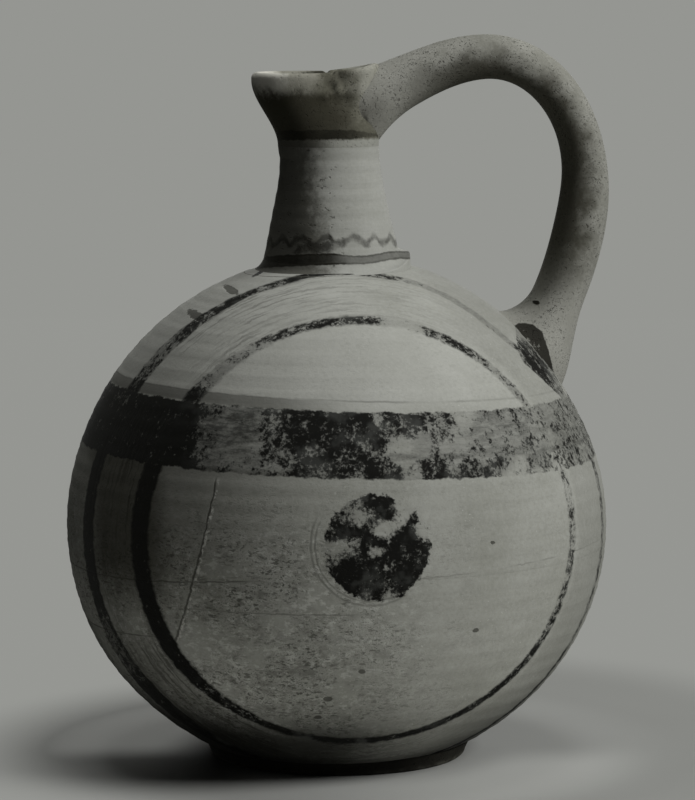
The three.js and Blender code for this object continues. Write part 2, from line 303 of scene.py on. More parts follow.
# Where the paint of a flank is kept or worn: degrees round from the flank's middle to the handle side,
# height in mm, reach in mm, share of thick paint left, and strength of the thin stain under it.
worn_places = (
    # the wide band
    (-75, 119, 30, 1, 0.9), (-56, 119, 13, 1, 0.9), (-46, 123, 6, 0.97, 0.9), (-44, 112, 6, 0.96, 0.9),
    (-39, 121, 5, 0.2, 1.1), (-37, 112, 6, 0.22, 0.9), (-31, 122, 6, 0.12, 1), (-30, 113, 6, 0.26, 0.8),
    (-34, 108, 2.2, 0.92, 0.7), (-24, 125, 4, 0.6, 0.5), (-22, 117, 5, 0.62, 0.65), (-22, 110, 4, 0.5, 0.5),
    (-13, 124, 6, 0.86, 0.7), (-12, 116, 6, 0.78, 0.6), (-10, 109, 5, 0.72, 0.5), (-5, 122, 6, 0.9, 0.6),
    (-4, 111, 5, 0.74, 0.5), (-3, 117, 2.5, 0.42, 0.4), (0, 121, 4, 0.86, 0.6), (1, 125, 2, 0.25, 0.3),
    (2, 120, 2, 0.4, 0.4), (2, 110, 3, 0.84, 0.6), (5, 116, 3.4, 0.05, 0.1), (6, 124, 4, 0.72, 0.6),
    (8, 109, 2.4, 0.15, 0.3), (12, 111, 3, 0.86, 0.7), (13, 107, 2.2, 0.86, 0.6), (12, 116, 4, 0.26, 0.5),
    (15, 122, 4, 0.62, 0.6), (19, 117, 4, 0.16, 0.4), (22, 112, 3, 0.64, 0.7), (23, 108, 3, 0.62, 0.7),
    (23, 125, 3, 0.06, 0.2), (27, 121, 5, 0.4, 0.7), (31, 117, 5, 0.22, 0.5), (31, 112, 3.5, 0.6, 0.7),
    (34, 124, 5, 0.42, 0.8), (39, 123, 5, 0.44, 0.8), (42, 112, 4, 0.52, 0.8), (44, 116, 4, 0.26, 0.5),
    (50, 120, 5, 0.34, 0.6), (56, 112, 5, 0.5, 0.7), (59, 125, 4, 0.46, 0.7), (70, 116, 12, 0.36, 0.6),
    (59, 106, 4, 0.4, 0.3), (33, 107, 3, 0.12, 0.1),
    # the rings below the band
    (-54, 80, 34, 1, 0.8), (-69, 80, 24, 1, 0.8), (-70, 46, 12, 0.4, 0.8), (-66, 22, 14, 1, 0.8),
    (-38, 28, 9, 0.76, 0.5), (0, 18, 26, 0.95, 0.5), (38, 35, 16, 0.82, 0.2), (47, 62, 14, 0.56, 0.1),
    (50, 92, 14, 0.38, 0.1), (72, 90, 24, 0.5, 0.3),
    # the rings above the band
    (44, 134, 12, 0.34, 0.4), (62, 137, 7, 0.84, 0.6), (28, 148, 9, 0.78, 0.4), (13, 153, 6, 0.06, 0.1),
    (-6, 154, 12, 0.8, 0.4), (-28, 149, 10, 0.56, 0.4), (-40, 139, 9, 0.22, 0.5), (-70, 138, 10, 0.2, 0.4),
    (-62, 156, 10, 0.74, 0.5), (-48, 165, 6, 0.66, 0.5), (-20, 168, 8, 0.98, 0.6), (-4, 169, 4, 0.98, 0.6),
    (20, 167, 7, 0.46, 0.2), (50, 157, 14, 0.22, 0.4),
    # the disc
    (-9.5, 84, 2.8, 0.12, 0.2), (-6, 84, 1.8, 0.36, 0.2), (-5.5, 87.5, 1.3, 0.34, 0.2),
    (-9.5, 90, 2.2, 0.86, 0.4), (-5, 90.5, 2.4, 0.94, 0.4), (-4, 94, 1.8, 0.22, 0.2),
    (-7, 97, 2.6, 0.48, 0.3), (-2, 96.5, 1.6, 0.52, 0.3), (-0.6, 99, 1.8, 0.86, 0.4),
    (1.8, 96, 1.6, 0.88, 0.4), (1, 91.3, 2.3, 0.04, 0), (4.2, 93.5, 2.1, 0.04, 0), (6.5, 98.5, 2.4, 0.02, 0),
    (10.5, 96, 3, 0.02, 0), (8.9, 90.4, 1.8, 0.05, 0), (7.3, 94.4, 1.4, 0.9, 0.4), (0, 87, 1.4, 0.92, 0.4),
    (-0.8, 84, 1.7, 0.05, 0.1), (-3.4, 83.5, 1.6, 0.92, 0.4), (5.5, 90, 2.2, 0.96, 0.5),
    (6, 85, 4, 0.95, 0.5), (10.4, 83, 2.6, 0.8, 0.4), (-6, 78, 4, 0.95, 0.5), (0, 75, 6, 0.88, 0.5),
    (1.9, 79.5, 1.2, 0.4, 0.3), (7, 75, 4, 0.88, 0.5), (1.8, 69.2, 1.6, 0.05, 0),
)


def wear_of(places):
    """Paint and stain left at each place: the mean of the worn places, each weighed by a hill of its reach
    about a point of the globe. Both flanks are worn alike."""
    round_from, height, reach, paint, stain = np.array(worn_places).T
    turn = np.radians(round_from)
    height, reach = height * mm, reach * mm
    half_axis = np.where(height < belly_height, keel_drop, crown_rise)
    radius = belly_radius * np.sqrt(1 - ((height - belly_height) / half_axis) ** 2)
    middle = np.stack([radius * np.sin(turn), -radius * np.cos(turn), height], axis=-1)
    mirrored = places * [1, 0, 1] - np.abs(places) * [0, 1, 0]
    distance = np.linalg.norm(mirrored[:, None] - middle[None], axis=-1)
    far_weight = 1e-6
    weight = hill(distance, 0, reach) + far_weight
    return (weight @ paint) / weight.sum(axis=1), (weight @ stain) / weight.sum(axis=1)


def mark_wear(piece):
    """Stores the wear of the paint on the vertices of a piece of the globe."""
    places = np.zeros(3 * len(piece.data.vertices))
    piece.data.vertices.foreach_get("co", places)
    for name, values in zip(("paint_left", "stain_left"), wear_of(places.reshape(-1, 3))):
        piece.data.attributes.new(name, "FLOAT", "POINT").data.foreach_set("value", values)


# Painted marks of a flank, in the finishes' own units: heights in mm, and degrees from the flank's axis
belly_ring = belly_height / mm
ring_axis = (-0.028, 0.997, 0.065)
inner_ring_turn, outer_ring_turn = 50.9, 69.9
disc_axis = (-0.007, 0.998, 0.056)
disc_turn = 10.9
band_low, band_high, band_tilt = 106.7, 127.3, 0.03
crack_axis = (-0.977, -0.017, 0.213)
crack_turn, chips_turn = 52.6, 53.1


def stroke(distance, half_width, blur):
    """1 inside a brush stroke and 0 outside it, by the distance from its middle line."""
    return (half_width - distance.size()).rise(-blur, blur)


def oval(across, upward, ragged):
    """1 inside a small ragged oval and 0 outside it, from distances as shares of its two half axes."""
    return (1 - across * across - upward * upward + ragged).rise(0, 0.4)


def root_drop(finish, frayed):
    """The drop of paint at each side of the handle's root, in side view: the places within a radius of a line
    from the drop's round head down to its tail, where the radius shrinks along the line."""
    head_x, head_z, head_radius = 63, 141.8, 6.9
    tail_x, tail_z, shrinking = 10.5, -16.5, 5.6
    aside = finish.x - head_x
    upward = finish.z - head_z
    down = ((aside * tail_x + upward * tail_z) / (tail_x**2 + tail_z**2)).most(0).least(1)
    off_x = aside - down * tail_x
    off_z = upward - down * tail_z
    off_line = (off_x * off_x + off_z * off_z).math("SQRT")
    return (head_radius - down * shrinking - off_line + frayed * 1.2).rise(-0.2, 0.3)


def painted_motifs(slip, flank, ring_angle, frayed):
    """Where paint was brushed on: rings as angles about the axis of a flank, broader to the spout and low
    down, a disc in their middle, a band as a stretch of height, one dab by the neck, and the edge of the drop
    on the handle's root. Noise frays every edge."""
    x, z = slip.x, slip.z
    to_spout = x.rise(-25, -70)
    low = z.rise(65, 20)
    lifted = z.rise(48, 14) * 1.4
    inner_ring = stroke(ring_angle + lifted - inner_ring_turn, to_spout * 1.2 + 1.3, 0.5)
    run_in = x.rise(20, 56) * z.rise(125, 150) * 5
    run_out = stroke(x + 7, 9, 6) * z.rise(158, 166) * 0.7
    outer_angle = ring_angle + run_in - run_out - outer_ring_turn
    outer_ring = stroke(outer_angle, to_spout * (low * 1.7 + 1.2) + 1.5, 0.5)
    disc_angle = slip.angle(flank, disc_axis) + frayed * 3.4
    disc = (disc_turn - disc_angle).rise(-0.2, 0.2)
    level = z + x * band_tilt + frayed * 2.6
    band = (level - band_low).rise(-0.3, 0.3) * (band_high - level).rise(-0.3, 0.3)
    aside, inward = x + 28.6, slip.y.size() - 9
    dab_along = (aside * 0.62 - inward * 0.78) / 4.4
    dab_across = (aside * 0.78 + inward * 0.62) / 1.5
    dab = oval(dab_along, dab_across, frayed * 2) * z.rise(155, 160)
    return inner_ring.most(outer_ring).most(disc).most(band).most(dab).most(root_drop(slip, frayed))


def soil_marks(slip, ring_angle, frayed, cloud):
    """Dark soil in the slip: fine specks drawn out by the wheel, smudges, a few larger pits, brush lines
    between the rings, the double groove round the disc, a hair crack with level hair lines, a faint strip
    over the band, and single spots. Also gives the pale chips beside the crack."""
    x, y, z = slip.x, slip.y, slip.z
    low = z.rise(112, 72)
    to_spout = x.rise(45, -30)
    dirt = slip.noise(16, 4, 0.6).rise(0.32, 0.58) * (low * to_spout * 0.88 + 0.12)
    drawn_specks = slip.noise(0.9, 2, 0.6, stretch=(2.2, 2.2, 0.9)).rise(0.55, 0.63)
    fine_specks = slip.noise(0.5, 2, 0.6).rise(0.54, 0.7)
    specks = drawn_specks.most(fine_specks) * dirt
    smudges = slip.noise(5, 5, 0.7, stretch=(1.3, 1.3, 0.9)).rise(0.48, 0.66) * dirt
    pits = slip.noise(2.6, 2, 0.5, stretch=(1.4, 1.4, 0.8)).rise(0.68, 0.73) * dirt
    between = stroke(ring_angle - 61, 8.75, 0.75)
    drawn = slip.along(ring_angle / 0.8, x * 0.05, z * 0.05)
    brushed = x.rise(60, -40) * cloud.rise(0.3, 0.52)
    lines = slip.noise(1, 3, 0.6, place=drawn).rise(0.46, 0.6) * between * brushed
    lines = lines * (0.85 - z.rise(125, 150) * 0.35)
    groove_side = (z + x * 0.8).rise(84, 72)
    groove_angle = ring_angle - frayed * 1.2
    groove = stroke(groove_angle - 11.5, 0.2, 0.16).most(stroke(groove_angle - 12.4, 0.24, 0.2)) * groove_side
    crack_angle = slip.angle(slip.along(x, y, z - belly_ring), crack_axis) + frayed * 1.1
    crack_reach = z.rise(49, 52) * z.rise(107, 104) * y.rise(0, -20)
    crack = stroke(crack_angle - crack_turn, 0.24, 0.14) * crack_reach
    crack_chips = stroke(crack_angle - chips_turn, 0.3, 0.2) * crack_reach
    crack_chips = crack_chips * slip.noise(1.3, 2, 0.6).rise(0.52, 0.58)
    seam_height_here = (x + 42).least(0) * 0.1 + x.most(0) * 0.045 + 74
    seam_line = stroke(z - seam_height_here - frayed * 1.4, 0.25, 0.2)
    seam_line = seam_line * x.rise(-38, -44).most(cloud.rise(0.42, 0.56) * 0.45)
    second_line = stroke(z - 63.3 - frayed * 1.2, 0.2, 0.2)
    second_line = second_line * x.rise(-64, -58) * x.rise(0, -12)
    third_line = stroke(z - (x + 73) * 0.14 - 51.1, 0.3, 0.25) * x.rise(-64, -68)
    above_band = z + x * 0.035 - band_high - frayed * 0.8
    edge_line = stroke(above_band - 3.1, 0.3, 0.25) * cloud.rise(0.4, 0.7)
    hair_lines = seam_line.most(second_line * 0.8).most(third_line).most(edge_line * 0.6)
    edge_strip = (3.4 - above_band).rise(0, 0.6) * above_band.rise(-1, 0) * x.rise(0, -40)
    soil = (specks * 0.95).most(smudges * 0.6).most(pits).most(lines).most(edge_strip * 0.75)
    soil = soil.most(groove * 0.5).most(hair_lines * 0.8).most(crack)
    spots = ((33.2, 55.5, 1), (-4.5, 43.4, 1.1), (-14.6, 33.4, 1.3), (-17, 26.2, 1.1), (38.3, 84.6, 0.8),
             (-51.1, 153.8, 1.9), (-38.5, 161.7, 1.5))
    for spot_x, spot_z, spot_size in spots:
        aside = (x - spot_x) / (spot_size * 1.25)
        upward = (z - spot_z) / (spot_size * 0.8)
        soil = soil.most(oval(aside, upward, frayed * 2.4))
    return soil, crack_chips


def painted_slip():
    """Pale matt slip, soiled, with dark paint over it that has flaked by the stored wear and left a stain.
    The slip's colour also holds painted light and painted shade.
    """
    slip = Finish("painted_slip")
    x, z = slip.x, slip.z
    frayed = slip.noise(3.2, 4, 0.65) - 0.5
    flank = slip.along(x, slip.y.size(), z - belly_ring)
    ring_angle = slip.angle(flank, ring_axis) + frayed * 1.7
    cloud = slip.noise(30, 3, 0.55)
    grain = slip.noise(1.4, 3, 0.7)
    wheel = slip.noise(1.1, 3, 0.6, stretch=(40, 40, 1))

    flakes = slip.noise(4, 4, 0.6) * 0.42 + slip.noise(1.2, 6, 0.75) * 0.58
    flakes = (flakes - 0.5) * 3.8 + 0.5
    thick = (flakes + slip.attribute("paint_left") - 1).rise(-0.3, 0.26)
    brush = slip.noise(4, 6, 0.8, stretch=(1.8, 1.8, 0.45)).rise(0.32, 0.68)
    thin = (slip.attribute("stain_left") * (brush * 0.6 + flakes * 0.25 + 0.3)).least(0.85)
    streak_height = z + x * 0.035 - 113.7 - frayed * 2.4
    streak = stroke(streak_height, 1.1, 0.8) * x.rise(-2, 8)
    streak = (streak * (brush * 0.4 + flakes * 0.35 + 0.2)).least(0.85)
    paint = painted_motifs(slip, flank, ring_angle, frayed) * thick.most(thin).most(streak)

    tone = cloud * 0.85 + grain * 0.55 + wheel * 0.15 - 0.28
    slip.colour = slip.mix(tone.rise(0, 1), seen(139, 140, 131), seen(174, 175, 168))
    chips = slip.noise(0.9, 2, 0.6).rise(0.68, 0.74) * slip.noise(18, 3, 0.6).rise(0.45, 0.6)
    low_by_spout = z.rise(108, 74) * x.rise(35, -25)
    flecks = slip.noise(2.4, 5, 0.75, stretch=(1.5, 1.5, 0.9)).rise(0.5, 0.64) * low_by_spout
    slip.coat((chips * 0.5).most(flecks * 0.58), seen(206, 207, 200))
    panel = ring_angle.rise(51, 49) * x.rise(60, 25)
    # Painted light: paler slip above the band, inside the inner ring and to the spout side.
    painted_light_upper_panel = z.rise(127, 131) * panel.most(x.rise(18, -8))
    slip.coat(painted_light_upper_panel * 0.33, seen(196, 197, 190))
    # Painted light: a paler patch low on the spout-side edge of the globe, for light thrown back from behind.
    painted_rim_light = ring_angle.rise(73, 80) * x.rise(-50, -70)
    painted_rim_light = painted_rim_light * stroke(z - 62, 8, 7)
    slip.coat(painted_rim_light * 0.75, seen(214, 214, 206))
    # Painted shade: slip darkened on the handle side outside the inner ring.
    painted_shade_handle_side = ring_angle.rise(52, 55) * x.rise(20, 42)
    slip.coat(painted_shade_handle_side * 0.2, seen(84, 84, 78))
    below_band = (108 - z - x * band_tilt).rise(-0.5, 0.5)
    # Dark stain and painted shade: below the band the slip is darkened to the spout side, in the strip by the
    # spout-side edge, and low between the rings.
    stain_and_painted_shade = x.rise(0, -70) * z.rise(55, 103) * (cloud * 0.6 + 0.1)
    between_rings = x.rise(-58, -72) * x.rise(-91, -84)
    stain_and_painted_shade = stain_and_painted_shade.most(between_rings * z.rise(52, 78) * 0.88)
    low_strip = stroke(ring_angle - 60.5, 8, 1) * x.rise(-20, -50)
    stain_and_painted_shade = stain_and_painted_shade.most(low_strip * z.rise(60, 40) * 0.42)
    slip.coat(stain_and_painted_shade * below_band, seen(70, 69, 61))
    soil, crack_chips = soil_marks(slip, ring_angle, frayed, cloud)
    slip.coat(soil * 0.75, seen(50, 49, 42))
    slip.coat(crack_chips * 0.8, seen(206, 206, 198))
    # Painted shade: the lowest part of the globe, by the foot, darkest to the spout side.
    painted_shade_by_foot = z.rise(34, 14) * (x.rise(24, -14) * 0.72 + 0.24)
    slip.coat(painted_shade_by_foot * 0.96, seen(20, 20, 16))
    film = slip.noise(9, 3, 0.6).rise(0.48, 0.66) * x.rise(-70, -40)
    slip.coat(paint, slip.mix(film, seen(15, 15, 12), seen(58, 59, 56)))

    relief = grain * 0.09 + wheel * 0.025 + paint * 0.05 - soil * 0.12
    return slip.fire(0.92 - paint * 0.14 + (grain - 0.5) * 0.1, relief)


slip_finish = painted_slip()
lower_bowl.data.materials.append(slip_finish)
mark_wear(lower_bowl)
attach(lower_bowl, "root")
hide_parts("lower_body")


# Upper bowl
# The upper half of the globe, thrown as a second bowl, turned over on to the lower one and pierced at the
# crown for the neck. It carries the wide band and the tops of the painted rings.

luting = 0.02 * mm
crown_hole = 19 * mm
hole_tilt = math.acos(crown_hole / belly_radius)
wall_rows, lining_rows = 116, 56
outside = globe(azimuth, np.linspace(tilt_at(seam_height + luting), hole_tilt, wall_rows)[:, None])
inner_hole_tilt = math.acos(crown_hole / (belly_radius - body_wall))
inner_tilts = np.linspace(inner_hole_tilt, tilt_at(seam_height + luting, -body_wall), lining_rows)
inside = globe(azimuth, inner_tilts[:, None], -body_wall)
inside[-1, :, 2] = outside[0, :, 2]
upper_bowl = fired_piece("upper_bowl", np.concatenate([outside, inside]))
upper_bowl.data.materials.append(slip_finish)
mark_wear(upper_bowl)
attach(upper_bowl, "root")
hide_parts("upper_body")


# Foot ring
# A ring of the same clay, luted under the floor and turned true. Its colour is kept very dark as painted
# shade under the belly, darkest away from the handle; toward the handle its lower edge is worn paler.

foot_radius = 46 * mm
foot_draft = 2 * mm
foot_width = 9.5 * mm
foot_edge = 1 * mm
pressed_in = 0.3 * mm


def rounded_corner(radius, height, size, start, end):
    """Profile points of a quarter round of this size about its own middle, from a start to an end angle."""
    turn = np.radians(np.linspace(start, end, 7))
    return radius + size * np.cos(turn), height + size * np.sin(turn)


inner_radius = foot_radius - foot_width
lower_radius = foot_radius - foot_draft
inner_edge = rounded_corner(inner_radius + foot_edge, foot_edge, foot_edge, 180, 270)
outer_edge = rounded_corner(lower_radius - foot_edge, foot_edge, foot_edge, 270, 360)
side = np.linspace(lower_radius, foot_radius, 6)[1:]
top = np.linspace(foot_radius, inner_radius, 8)[1:]
under_globe = belly_height - keel_drop * np.sqrt(1 - (np.maximum(top, floor_radius) / belly_radius) ** 2)
under_edge = belly_height - keel_drop * math.sqrt(1 - (foot_radius / belly_radius) ** 2)
foot_profile_radius = np.concatenate([inner_edge[0], outer_edge[0], side, top])
side_height = np.linspace(foot_edge, under_edge, 6)[1:] + pressed_in
foot_profile_height = np.concatenate([inner_edge[1], outer_edge[1], side_height, under_globe + pressed_in])
foot_wave = mm * (0.22 * np.sin(2 * azimuth + 1.9) + 0.15 * np.sin(5 * azimuth))
foot_ring = fired_piece(
    "foot_ring", turned(foot_profile_radius[:, None] + foot_wave, foot_profile_height[:, None], azimuth)
)


def bare_clay(name, dark, light, soil_shade):
    """Unpainted clay: cloudy tone, fine grain, dark pits and soil in the hollows. Returns the finish with
    its pits and grain, for a piece that adds its own marks."""
    clay = Finish(name)
    cloud = clay.noise(11, 4, 0.62)
    grain = clay.noise(1.2, 3, 0.7)
    tone = cloud * 1.1 + grain * 0.6 - 0.35
    clay.colour = clay.mix(tone.rise(0, 1), dark, light)
    fine_pits = clay.noise(0.5, 2, 0.6).rise(0.58, 0.72) * 0.7
    pits = clay.noise(1.1, 2, 0.6).rise(0.6, 0.7).most(fine_pits) * cloud.rise(0.3, 0.6)
    clay.coat(pits * 0.65, soil_shade)
    return clay, pits, grain


# Painted shade: the foot's clay colours are kept very dark for the shade under the belly.
clay, pits, grain = bare_clay("foot_clay", seen(34, 33, 28), seen(64, 63, 56), seen(20, 20, 16))
worn_edge = clay.z.rise(2.2, 0.4) * clay.noise(5, 4, 0.6).rise(0.4, 0.6)
clay.coat(worn_edge * 0.5, seen(116, 115, 105))
# Painted shade: darker still away from the handle.
clay.coat(clay.x.rise(36, 10) * 0.75, seen(13, 13, 11))
foot_ring.data.materials.append(clay.fire(grain * 0.12 + 0.86, grain * 0.08 - pits * 0.2))
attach(foot_ring, "root")
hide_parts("foot_ring")


# Neck
# A thrown tube that tapers upwards, set over the hole in the crown a little to the spout side and leaning
# that way. It is slipped like the globe and has a painted wavy line low down.

neck_base_radius = 24 * mm
neck_top_radius = 17.2 * mm
neck_length = 41 * mm
neck_straight = 13 * mm
neck_wall = 4 * mm
neck_offset = 1.8 * mm
neck_lean = 1.4 * mm
neck_sunk = 2.6 * mm
shoulder_height = belly_height + crown_rise * math.sqrt(1 - (neck_base_radius / belly_radius) ** 2)
neck_top_height = shoulder_height + neck_length


def leaning(points):
    """Sets a turned neck piece off the body's axis and leans it to the spout by its climb up the neck."""
    climb = np.clip((points[..., 2] - shoulder_height) / neck_length, 0, None)
    moved = points.copy()
    moved[..., 0] -= neck_offset + neck_lean * climb
    return moved


def neck_outline(share):
    """Radius and height of the neck's outside: a quadratic curve that leaves the shoulder on a slope and runs
    almost straight below the mouth."""
    spread = (1 - share) ** 2
    radius = neck_top_radius + spread * (neck_base_radius - neck_top_radius)
    rise = 2 * share * (1 - share) * (neck_length - neck_straight) + share**2 * neck_length
    return radius, shoulder_height + rise


neck_round = np.linspace(0, 2 * np.pi, 192, endpoint=False)[None, :]
radius, height = neck_outline(np.linspace(0, 1, 64))
root_height = shoulder_height - neck_sunk
outer_radius = np.concatenate([[neck_base_radius], radius])[:, None]
outer_height = np.concatenate([[root_height], height])[:, None]
neck_wave = mm * (
    0.18 * np.sin(2 * neck_round + 0.4) + 0.06 * np.sin(outer_height / (0.8 * mm) + np.sin(neck_round))
    - (0.45 - 0.35 * np.cos(neck_round)) * hill(outer_height, 200 * mm, 11 * mm)
)
neck_wave = neck_wave * np.clip((neck_top_height - outer_height) / (4 * mm), 0, 1)
outside = turned(outer_radius + neck_wave, outer_height, neck_round)
inside = turned(outer_radius[::-2] - neck_wall, outer_height[::-2], neck_round)
neck = fired_piece("neck", leaning(np.concatenate([outside, inside])))


def neck_slip():
    """The globe's slip, darkened to the spout by mottled soil and painted shade, with the painted marks of
    the
    neck: a smudged wavy line round its foot, and below it the band that covers the collar, both a little
    higher at the flanks."""
    slip = Finish("neck_slip")
    mean_lean = 2.4
    x, y, z = slip.x + mean_lean, slip.y, slip.z
    frayed = slip.noise(2.6, 4, 0.65) - 0.5
    flank = y.size() / 22
    turn = y.size().math("ARCTAN2", x)
    to_handle = x.rise(-4, 4)
    unsteady = (slip.noise(9, 2, 0.5) - 0.5) * 7
    zigzag = (turn * 15 + unsteady).math("SINE") * (unsteady * 0.25 + 1.2)
    wave_height = z - flank * 2 - 176.6 - zigzag - frayed * 2.6
    smudge = slip.noise(3, 5, 0.7)
    wave_paint = smudge.rise(0.3, 0.65) * 0.4 + (1 - to_handle) * 0.25 + 0.3
    wave = stroke(wave_height, 1.15, 0.8) * wave_paint
    band_climb = x.rise(6, 24) * 2.2 - to_handle * 0.4
    band_height = z - flank * 2.8 - 169.5 - band_climb - frayed * 1.2
    half_band = 2 - to_handle * 0.5
    band = stroke(band_height, half_band, 0.25)
    band_rims = (half_band - 0.6 - band_height.size()).rise(0.3, -0.3)
    band_paint = (1 - to_handle) * 0.34 + smudge.rise(0.3, 0.7) * 0.14 + band_rims * 0.2 + 0.5
    blot_x = (x + 7) / 7.6
    blot_z = (z - 177 - x * 0.1) / 2.2
    blot = (1 - (blot_x * blot_x + blot_z * blot_z) + (smudge - 0.5) * 5).rise(-0.6, 1) * 0.85
    paint = (band * band_paint).most(wave).most(blot)

    cloud = slip.noise(22, 3, 0.55)
    grain = slip.noise(1.3, 3, 0.7)
    wheel = slip.noise(1, 3, 0.6, stretch=(24, 24, 1))
    tone = cloud * 0.8 + grain * 0.5 + wheel * 0.4 - 0.35
    slip.colour = slip.mix(tone.rise(0, 1), seen(150, 151, 143), seen(178, 179, 173))
    pits = slip.noise(1.6, 3, 0.6, stretch=(1.4, 1.4, 0.8)).rise(0.6, 0.7) * x.rise(6, -4)
    # Soil and painted shade: the spout side of the neck is darkened in mottled patches.
    mottled = x + (smudge - 0.5) * 15 + (z - 192) * 0.1
    soil_and_shade_to_spout = mottled.rise(-2, -12)
    slip.coat(soil_and_shade_to_spout * 0.76, seen(56, 54, 44))
    slip.coat(pits * 0.6, seen(50, 49, 40))
    slip.coat(paint, seen(34, 33, 27))
    relief = grain * 0.09 + wheel * 0.04 + paint * 0.04 - pits * 0.14
    return slip.fire(0.92 - paint * 0.12 + (grain - 0.5) * 0.1, relief)


neck_finish = neck_slip()
neck.data.materials.append(neck_finish)
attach(neck, "root")
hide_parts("neck")


# Neck collar
# A ring of soft clay worked into the corner between the neck and the shoulder, with a small ledge that is
# sharper on the handle side. The painted base band of the neck runs over it.

collar_height = 6.2 * mm
collar_reach = 26.6 * mm
ledge_round = 0.5 * mm


def crown_height(points):
    """Height of the globe under each place, from the ellipse and the potter's unevenness."""
    from_axis = np.hypot(points[..., 0], points[..., 1])
    around = np.arctan2(points[..., 1], points[..., 0])
    height = belly_height + crown_rise * np.sqrt(1 - (from_axis / belly_radius) ** 2)
    return height + hand_thrown(around, height) * (height - belly_height) / crown_rise


radius, height = neck_outline(np.linspace(0, 1, 400))
tip_height = shoulder_height + collar_height
tip_radius = np.interp(tip_height, height, radius)
from_handle = np.abs((neck_round + np.pi) % (2 * np.pi) - np.pi)
lip = mm * (0.15 + 4.8 * hill(from_handle, 0, 0.7))
reach = collar_reach + mm * (1.4 * (1 - hill(from_handle, 0, 0.9)) + 2.4 * hill(from_handle, np.pi, 1.0))
edge = leaning(turned(reach, shoulder_height, neck_round))
edge_height = crown_height(edge)
lip_top = edge_height + lip
lip_radius = reach - ledge_round
share = np.linspace(0, 1, 16)[:, None]
low_weight, mid_weight, tip_weight = (1 - share) ** 2, 2 * share * (1 - share), share**2
hollow_radius = low_weight * lip_radius + mid_weight * (tip_radius + 0.9 * mm) + tip_weight * tip_radius
hollow_height = low_weight * lip_top + mid_weight * (lip_top + 0.7 * mm) + tip_weight * tip_height
corner = np.radians(np.linspace(0, 80, 7))[:, None]
corner_size = np.minimum(ledge_round, lip)
corner_radius = lip_radius + ledge_round * np.cos(corner)
corner_height = lip_top + corner_size * (np.sin(corner) - 1)
foot_rows_radius = np.concatenate([reach - 4.5 * mm, reach])
foot_rows_height = np.concatenate([edge_height - 1.2 * mm, edge_height - 0.8 * mm])
inner_tip = np.full_like(reach, tip_radius - 0.8 * mm)
collar_radius = np.concatenate([foot_rows_radius, corner_radius, hollow_radius, inner_tip])
collar_heights = np.concatenate(
    [foot_rows_height, corner_height, hollow_height, np.full_like(reach, tip_height - 0.4 * mm)]
)
neck_collar = fired_piece("neck_collar", leaning(turned(collar_radius, collar_heights, neck_round)))
neck_collar.data.materials.append(neck_finish)
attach(neck_collar, "root")
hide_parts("neck_collar")


# Pinched mouth
# The rim of the thrown neck, opened into a spout with a finger and pinched at both sides between finger and
# thumb. Bare clay, with painted shade under the flaring rim and to the spout side, darker patches at the
# pinch and the back, a painted highlight along the rim to the spout's tip, and a painted band round its foot.

mouth_height = 24.7 * mm
flare_height = 22 * mm
spout_reach = 26.1 * mm
back_reach = 18 * mm
back_rise = 1.4 * mm
pinched_half = 5.5 * mm + neck_wall
# Finger and thumb marks of the pinch: degrees from the spout, then climb, size and depth in mm, where a lump
# has a positive depth
pinch_marks = (
    (88, 20, 1.9, -1.7), (107, 23, 2.1, -1.6), (78, 17, 1.7, 1.1), (98, 19, 1.5, 1.1),
    (111, 15, 1.8, -0.9), (93, 15.5, 1.6, -0.9), (70, 21.5, 2.2, 0.6),
)
neck_top_x = -(neck_offset + neck_lean)


def smooth_step(value, low, high):
    """0 below low and 1 above high, with a smooth step between them."""
    share = np.clip((value - low) / (high - low), 0, 1)
    return share * share * (3 - 2 * share)


def rim_radius(from_spout):
    """Distance of the rim from the neck's axis: a mean, one swing from spout to back, and one squeeze."""
    ends = (spout_reach + back_reach) / 2
    swing = (spout_reach - back_reach) / 2 * np.cos(from_spout)
    squeeze = (ends - pinched_half) / 2 * np.cos(2 * from_spout)
    return (ends + pinched_half) / 2 + swing + squeeze


def opened_mouth(from_spout, climb, radius):
    """Carries a point of the straight tube to the opened mouth: by a smooth step of its climb, it moves out
    by the step from the tube to the rim. Finger marks dent the pinch, a chip nicks the rim beside it, and the
    rim is uneven, highest at the back."""
    opened = smooth_step(climb, 0, flare_height)
    uneven = mm * opened * (0.22 * np.sin(3 * from_spout + 0.5) + 0.12 * np.sin(7 * from_spout))
    moved = radius + opened * (rim_radius(from_spout) - neck_top_radius) + uneven
    for press_turn, press_climb, press_size, press_depth in pinch_marks:
        size = press_size * mm
        place = hill(np.abs(from_spout), math.radians(press_turn), size / pinched_half)
        moved = moved + press_depth * mm * place * hill(climb, press_climb * mm, size)
    chip = 0.8 * mm * hill(np.abs(from_spout), math.radians(93), 0.10) * smooth_step(climb, 16 * mm, 24 * mm)
    rise = opened * back_rise * (1 - np.cos(from_spout)) / 2 - chip
    back_crest = 1.5 * hill(np.abs(from_spout), np.pi, 0.6)
    rise = rise + mm * opened * (0.25 * np.sin(2 * from_spout + 1.1) + back_crest)
    x, y = neck_top_x - moved * np.cos(from_spout), moved * np.sin(from_spout)
    return np.stack([x, y, neck_top_height + climb + rise], axis=-1)


from_spout = np.linspace(-np.pi, np.pi, 240, endpoint=False)[None, :]
lip_round = neck_wall / 2
lip_start = mouth_height - lip_round
lip_turn = np.linspace(0, np.pi, 17)[1:-1, None]
wall_climb = np.linspace(luting, lip_start, 48)[:, None]
tube_radius = np.concatenate([
    np.full_like(wall_climb, neck_top_radius),
    neck_top_radius - lip_round + lip_round * np.cos(lip_turn),
    np.full_like(wall_climb, neck_top_radius - neck_wall),
])
tube_climb = np.concatenate([wall_climb, lip_start + lip_round * np.sin(lip_turn), wall_climb[::-1]])
pinched_mouth = fired_piece("pinched_mouth", opened_mouth(from_spout, tube_climb, tube_radius))

